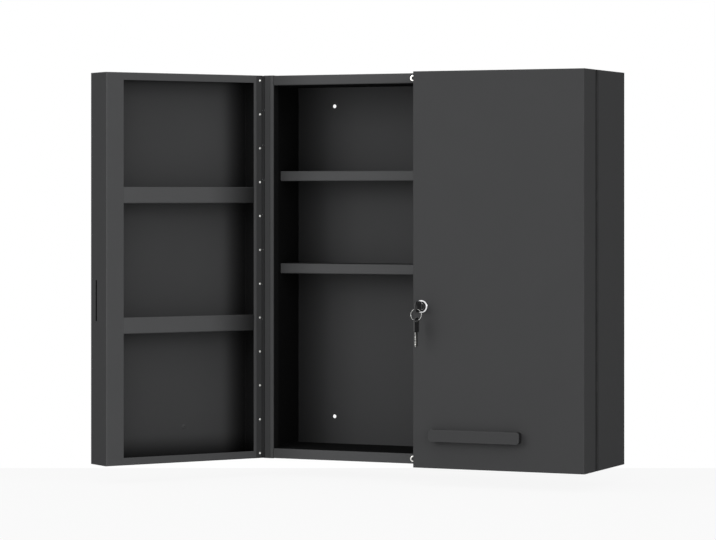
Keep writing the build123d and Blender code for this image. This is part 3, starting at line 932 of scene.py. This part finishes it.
class CabinetLock(bpy.types.Operator):
    """Model the cam lock: its collar and threaded barrel, its nut, its plug and the cam's screw."""

    bl_idname = "cabinet.lock"
    bl_label = "Cam lock"

    def execute(self, context):
        self.face = facing(LOCK_CENTRE, (0, -1, 0))
        self.make_housing()
        self.make_nut()
        self.make_plug()
        return {"FINISHED"}

    def make_housing(self):
        """The collar and its barrel, threaded between two flats, and the collar's black ring."""
        collar, barrel, thread_root, bore, seat = 10.8, 9.0, 8.45, 6.05, 1.6
        behind = -18.95
        ridges = []
        height = -1.4
        while height > behind + 2:
            ridges += [(barrel - 0.05, height, 0), (thread_root, height - 0.6, 0)]
            height -= 1.2
        housing = turned(
            "lock_housing_detail",
            [
                (7.3, seat, 0.2), (7.5, 3.2, 0.3), (8.7, 3.6, 0.9), (collar, 2.2, 1.6),
                (collar, 0, 0.2), (barrel, 0, 0), (barrel, -1.1, 0),
                *ridges,
                (barrel - 0.4, behind, 0.3), (bore, behind, 0), (bore, seat, 0), (7.3, seat, 0),
            ],
            around=64,
        )
        for sign in (-1, 1):
            cut(housing, bar("flat", (24, 4, 22), (0, sign * 10, -11)))
        settle(housing, self.face)
        chrome = part_material("bright_chrome")
        hand_over(housing, "right_door", chrome, "lock_chrome", "lock_housing")

        inner, outer = 6.2, 7.25
        insert = turned(
            "lock_insert",
            [
                (inner, seat, 0), (inner, 2.3, 0.15), (outer, 2.6, 0.15), (outer, seat, 0),
                (inner, seat, 0),
            ],
            around=64,
        )
        settle(insert, self.face)
        hand_over(insert, "right_door", part_material("black_moulding"), "black_plastic")

    def make_nut(self):
        """The hexagon nut, with its corners turned down."""
        flats, thick, middle = 24, 4.5, -3.25
        bpy.ops.mesh.primitive_cylinder_add(
            vertices=6, radius=flats / math.sqrt(3), depth=thick, location=(0, 0, middle)
        )
        nut = start("lock_nut_detail")
        bpy.ops.object.transform_apply(location=True, rotation=True, scale=True)
        half, corner = flats / 2, 14.2
        profile = [
            (0, 0, 0), (half, -1, 0), (corner, -2.2, 0), (corner, -4.4, 0), (half, -5.5, 0),
            (0, -6.5, 0),
        ]
        cut(nut, turned("crown", profile), "INTERSECT")
        cut(nut, turned("bore", [(0, 0, 0), (9.1, 0, 0), (9.1, -7, 0), (0, -7, 0)], around=64))
        settle(nut, self.face)
        zinc = part_material("zinc_plate")
        hand_over(nut, "right_door", zinc, "zinc_steel", "lock_nut", angle=25)

    def make_plug(self):
        """The plug with its keyway and its square, and the screw that holds the cam."""
        radius, behind = 6.0, -19.25
        plug = turned(
            "lock_plug_detail",
            [
                (0, 2.8, 0), (4.9, 2.8, 0.25), (radius, 2.0, 0.3), (radius, behind, 0),
                (0, behind, 0),
            ],
            around=64,
        )
        cut(plug, bar("keyway", (2.2, 8.2, 30), (0, 0, 5.8)))
        square = bar("square", (6, 6, 2.5), (0, 0, behind - 1.25))
        plug = joined([plug, square])
        settle(plug, self.face)
        hand_over(plug, "lock", part_material("plug_painted_reflection"), "lock_chrome", "lock_plug")

        head, shank, end, under, inner = 4.5, 1.9, -24.0, -21.75, -18.6
        screw = turned(
            "cam_screw_detail",
            [
                (0, end, 0), (3.0, end + 0.15, 1.2), (head, end + 1.1, 0.4), (head, under, 0),
                (shank, under, 0), (shank, inner, 0), (0, inner, 0),
            ],
            around=32,
        )
        punch = cross_cutter(1.2, 1.6, 4.4, 0.9)
        turn_back = Matrix.Rotation(math.pi, 4, "X")
        settle(punch, Matrix.Translation((0, 0, end + 1.0)) @ turn_back)
        cut(screw, punch)
        settle(screw, self.face)
        hand_over(screw, "lock", part_material("zinc_plate"), "zinc_steel", "cam_screw")


class CabinetKeys(bpy.types.Operator):
    """Model a key with its moulded bow, and copy it for the spare."""

    bl_idname = "cabinet.keys"
    bl_label = "Keys"

    # In millimetres: the bow's length, width and thickness, its corners far from and near the
    # blade, the blade's length, width and thickness, its part in the bow, and the bow's distance
    # from the lock's face
    LONG, WIDE, THICK = 24, 18, 3.4
    FAR_ROUND, NEAR_ROUND = 7, 3
    BLADE = (31, 8, 2)
    SEAT = 7
    BOW_OUT = 5.8

    def execute(self, context):
        blade = self.make_blade()
        bow = self.make_bow()
        key_end = LOCK_CENTRE + Vector((0, -self.BOW_OUT * MM, 0))
        spare_end = Vector((RING_FOOT.x, RING_FOOT.y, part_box("spare_key_bow")[0].z))
        key_place = facing(key_end, (-1, 0, 0), (0, 0, 1))
        spare_place = facing(spare_end, (-1, 0, 0), (0, 1, 0))
        steel, moulding = part_material("key_steel_painted_light"), part_material("key_moulding")
        for name, place in (("key", key_place), ("spare_key", spare_place)):
            shaft = settle(copy_of(blade, f"{name}_blade_detail"), place)
            head = settle(copy_of(bow, f"{name}_bow_detail"), place)
            hand_over(shaft, name, steel, "lock_chrome", f"{name}_blade", angle=25)
            hand_over(head, name, moulding, "black_plastic", f"{name}_bow")
        bpy.data.objects.remove(blade)
        bpy.data.objects.remove(bow)
        return {"FINISHED"}

    def make_blade(self):
        """The blade along -X from the bow: milled grooves, cuts for the pins and a pointed tip."""
        long, wide, thick = self.BLADE
        blade = bar("blade", self.BLADE, (self.SEAT - long / 2, 0, 0))
        pick(blade, "EDGE", lambda a, b: a.x < -20 and b.x < -20 and abs(a.z - b.z) > 1)
        bpy.ops.mesh.bevel(offset=2.0, segments=1, affect="EDGES")
        bpy.ops.object.mode_set(mode="OBJECT")
        for number, depth in enumerate((1.2, 0.7, 1.5, 1.0)):
            side = depth * math.sqrt(2)
            place = (-6 - 4 * number, -wide / 2, 0)
            cut(blade, bar("pin_cut", (side, side, 2 * thick), place, math.pi / 4))
        for face, across in ((1, 1.1), (-1, -0.9)):
            groove = bar("groove", (24, 1.3, 0.9), (-15, across, face))
            soften(groove, 0.2, 2)
            cut(blade, groove)
        soften(blade, 0.12, 1, 40)
        return blade

    def make_bow(self):
        """The bow along +X: a block with rounded corners, sunk panels and a slot for the ring."""
        middle = self.LONG / 2
        bow = bar("bow", (self.LONG, self.WIDE, self.THICK), (middle, 0, 0))
        pick(bow, "EDGE", lambda a, b: a.x > middle and abs(a.z - b.z) > 1)
        bpy.ops.mesh.bevel(offset=self.FAR_ROUND - 0.01, segments=8, affect="EDGES")
        pick(bow, "EDGE", lambda a, b: a.x < 1 and abs(a.z - b.z) > 1)
        bpy.ops.mesh.bevel(offset=self.NEAR_ROUND, segments=6, affect="EDGES")
        pick(bow, "FACE", lambda centre, normal: abs(normal.z) > 0.9)
        bpy.ops.mesh.inset(thickness=0.55, depth=0.0)
        bpy.ops.mesh.inset(thickness=1.6, depth=0.0)
        bpy.ops.mesh.inset(thickness=0.3, depth=-0.28)
        pick(bow, "EDGE", lambda a, b: self.on_rim(a) and self.on_rim(b))
        bpy.ops.mesh.bevel(offset=0.5, segments=3, affect="EDGES")
        bpy.ops.object.mode_set(mode="OBJECT")
        slot_wide = 4
        slot = bar("slot", (slot_wide, 9.6, 8), (18.2, 0, 0))
        pick(slot, "EDGE", lambda a, b: abs(a.z - b.z) > 1)
        bpy.ops.mesh.bevel(offset=slot_wide / 2 - 0.01, segments=6, affect="EDGES")
        bpy.ops.object.mode_set(mode="OBJECT")
        cut(bow, slot)
        cut(bow, bar("seat", (self.SEAT, *self.BLADE[1:]), (self.SEAT / 2, 0, 0)))
        return bow

    def on_rim(self, point):
        """Whether a point of the bow's two faces lies on its outline."""
        radius = self.FAR_ROUND if point.x > self.LONG / 2 else self.NEAR_ROUND
        inner_x = abs(point.x - self.LONG / 2) - (self.LONG / 2 - radius)
        inner_y = abs(point.y) - (self.WIDE / 2 - radius)
        reach = math.hypot(max(inner_x, 0), max(inner_y, 0))
        on_face = abs(abs(point.z) - self.THICK / 2) < 0.01
        return on_face and max(reach, inner_x, inner_y) > radius - 0.1


class CabinetKeyRing(bpy.types.Operator):
    """Model the split ring as two turns of wire."""

    bl_idname = "cabinet.key_ring"
    bl_label = "Split ring"

    def execute(self, context):
        sizes = context.scene.cabinet_fittings
        radius = (RING_TOP.z - RING_FOOT.z) / 2 / MM
        wire = sizes.wire_radius / MM
        pitch = sizes.wire_pitch / MM
        sides, around = 12, 48
        bpy.ops.mesh.primitive_circle_add(
            vertices=sides,
            radius=wire,
            location=(radius, 0, -pitch),
            rotation=(math.pi / 2, 0, 0),
            fill_type="NGON",
        )
        ring = start("key_ring_detail")
        bpy.ops.object.transform_apply(location=True, rotation=True, scale=True)
        modify(
            ring,
            "SCREW",
            axis="Z",
            angle=2 * math.pi,
            screw_offset=pitch,
            iterations=2,
            steps=around,
            render_steps=around,
        )
        clean(ring)
        settle(ring, facing((RING_TOP + RING_FOOT) / 2, (0, -1, 0)))
        hand_over(ring, "key_ring", part_material("ring_steel"), "lock_chrome", "key_ring")
        return {"FINISHED"}


class CabinetStage(bpy.types.Operator):
    """Set up the camera, the lights, the floor and the white surroundings."""

    bl_idname = "cabinet.stage"
    bl_label = "Studio"

    def execute(self, context):
        sizes = context.scene.cabinet_studio
        self.add_camera(context, sizes)
        self.add_floor(sizes)
        self.add_light(sizes, "left_light", sizes.left_round, sizes.left_light)
        self.add_light(sizes, "right_light", sizes.right_round, sizes.right_light)
        self.add_world(context, sizes)
        context.scene.view_settings.view_transform = "Standard"
        return {"FINISHED"}

    def add_camera(self, context, sizes):
        """The camera looks level, and its frame is shifted down."""
        bpy.ops.object.camera_add(
            location=sizes.camera_place, rotation=(math.pi / 2, 0, sizes.camera_turn)
        )
        camera = bpy.context.active_object
        camera.name = "camera"
        camera.data.sensor_width = 36.0
        camera.data.lens = sizes.lens
        camera.data.shift_y = sizes.shift
        context.scene.camera = camera

    def add_floor(self, sizes):
        """A pale board under the cabinet, square to the camera."""
        turn = Matrix.Rotation(sizes.camera_turn, 4, "Z")
        middle = turn @ Vector((0, sizes.floor_far - sizes.floor_deep / 2, 0))
        height = CAD_BOX[0].z - sizes.floor_drop
        place = (sizes.camera_place[0] + middle.x, sizes.camera_place[1] + middle.y, height)
        bpy.ops.mesh.primitive_plane_add(
            size=1.0, location=place, rotation=(0, 0, sizes.camera_turn)
        )
        floor = start("floor")
        floor.scale = (sizes.floor_wide, sizes.floor_deep, 1)
        bpy.ops.object.transform_apply(location=True, rotation=True, scale=True)
        finish = Finish(bpy.data.materials.new("pale_floor"))
        haze = finish.noise(0.4, 2.0)
        dull, clear = tinted(sizes.floor_colour, 0.99), tinted(sizes.floor_colour, 1.01)
        colour = finish.blend(haze, dull, clear)
        diffuse = finish.node("ShaderNodeBsdfDiffuse", {}, {"Color": colour})
        white = opaque([sizes.floor_white] * 3)
        glow = finish.node("ShaderNodeEmission", {}, {"Color": white, "Strength": 1.0})
        share = finish.seen() * sizes.floor_lift
        mixed = finish.node("ShaderNodeMixShader", {}, {0: share, 1: diffuse, 2: glow})
        finish.node("ShaderNodeOutputMaterial", {}, {"Surface": mixed})
        floor.data.materials.append(finish.owner)

    def add_light(self, sizes, name, azimuth, power):
        """A square soft light that faces the cabinet, some way round from its front."""
        ahead = Matrix.Rotation(azimuth, 3, "Z") @ Vector((0, -1, 0))
        raised = ahead * math.cos(sizes.lamp_rise) + Vector((0, 0, math.sin(sizes.lamp_rise)))
        place = raised * sizes.lamp_far
        bpy.ops.object.light_add(type="AREA", location=place)
        light = bpy.context.active_object
        light.name = name
        light.data.size = sizes.lamp_size
        light.data.energy = power
        light.rotation_mode = "QUATERNION"
        light.rotation_quaternion = (-place).to_track_quat("-Z", "Y")

    def add_world(self, context, sizes):
        """White where the camera, metal and glass see it, otherwise a soft light from the front."""
        world = bpy.data.worlds.new("studio")
        context.scene.world = world
        finish = Finish(world)
        way = finish.node("ShaderNodeTexCoord", out="Generated")
        front = finish.steps(finish.parts(way)[1], 0.5, -0.2)
        fill = front * (sizes.sky - sizes.back_sky) + sizes.back_sky
        strength = fill + finish.seen() * (1.0 - fill)
        sockets = {"Color": (1, 1, 1, 1), "Strength": strength}
        glow = finish.node("ShaderNodeBackground", {}, sockets)
        finish.node("ShaderNodeOutputWorld", {}, {"Surface": glow})


class CabinetPanel(bpy.types.Panel):
    """The cabinet's tools in the sidebar."""

    bl_idname = "CABINET_PT_tools"
    bl_label = "Medicine cabinet"
    bl_space_type = "VIEW_3D"
    bl_region_type = "UI"
    bl_category = "Cabinet"

    def draw(self, context):
        for group, operators in GROUPS:
            box = self.layout.box()
            settings = getattr(context.scene, group)
            for name in settings.bl_rna.properties.keys():
                if name not in ("rna_type", "name"):
                    box.prop(settings, name)
            for operator in operators:
                box.operator(operator)


FITTINGS = ("rivets", "magnets", "handle_screws", "lock", "keys", "key_ring")
GROUPS = (
    ("cabinet_finishes", ("cabinet.make_finishes",)),
    ("cabinet_fittings", tuple(f"cabinet.{fitting}" for fitting in FITTINGS)),
    ("cabinet_studio", ("cabinet.stage",)),
)
SETTINGS = {
    "cabinet_finishes": CabinetFinishes,
    "cabinet_fittings": CabinetFittings,
    "cabinet_studio": CabinetStudio,
}
CLASSES = (
    *SETTINGS.values(),
    CabinetMakeFinishes,
    CabinetRivets,
    CabinetMagnets,
    CabinetHandleScrews,
    CabinetLock,
    CabinetKeys,
    CabinetKeyRing,
    CabinetStage,
    CabinetPanel,
)


def register():
    for made in CLASSES:
        bpy.utils.register_class(made)
    for name, group in SETTINGS.items():
        setattr(bpy.types.Scene, name, bpy.props.PointerProperty(type=group))


def unregister():
    for name in SETTINGS:
        delattr(bpy.types.Scene, name)
    for made in reversed(CLASSES):
        bpy.utils.unregister_class(made)


def main():
    register()
    for _, operators in GROUPS:
        for operator in operators:
            family, name = operator.split(".")
            getattr(getattr(bpy.ops, family), name)()


if __name__ == "__main__":
    main()
